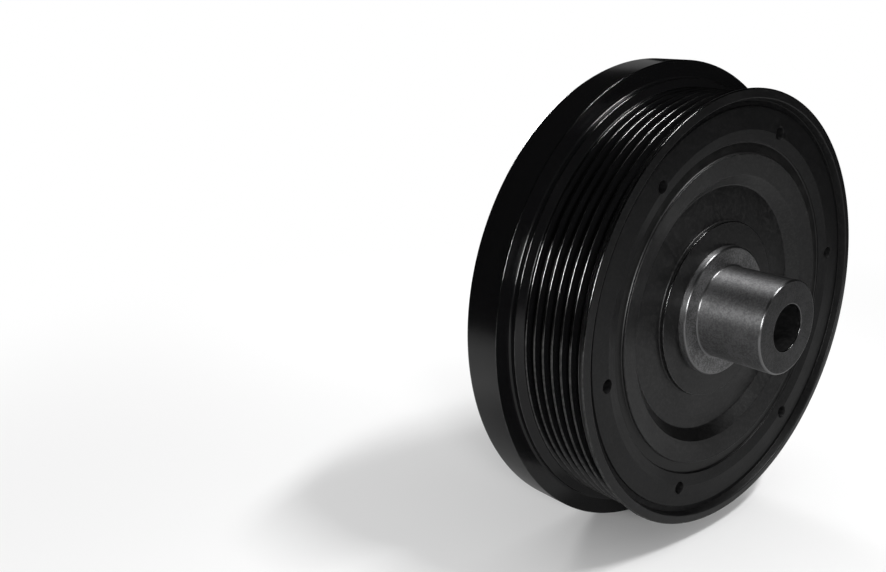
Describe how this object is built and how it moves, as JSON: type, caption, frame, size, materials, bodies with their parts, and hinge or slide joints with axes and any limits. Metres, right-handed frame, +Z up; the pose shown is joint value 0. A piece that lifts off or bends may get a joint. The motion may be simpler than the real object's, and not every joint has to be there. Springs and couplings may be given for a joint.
{
  "type": "harmonic balancer",
  "caption": "Crankshaft harmonic balancer: a domed hub with a machined snout, a rubber damping ring and a heavy outer ring with a plain rim and a ribbed belt track.",
  "frame": {"origin": "centre of the crankshaft bolt bore at the snout's end face, which seats on the crankshaft", "axes": "+Y along the crankshaft axis, out of the front of the engine; +Z up; +X completes the right-handed frame"},
  "size_m": [0.156, 0.0609, 0.156],
  "materials": {
    "ring_paint": "black gloss paint over turned cast iron",
    "rubber": "moulded black elastomer, overpainted",
    "hub_paint": "black paint over turned iron; snout and its collar are bare ground metal"
  },
  "bodies": {
    "root": {"inertia_ring": "ring_paint", "rubber_ring": "rubber", "hub": "hub_paint"}
  },
  "joints": []
}
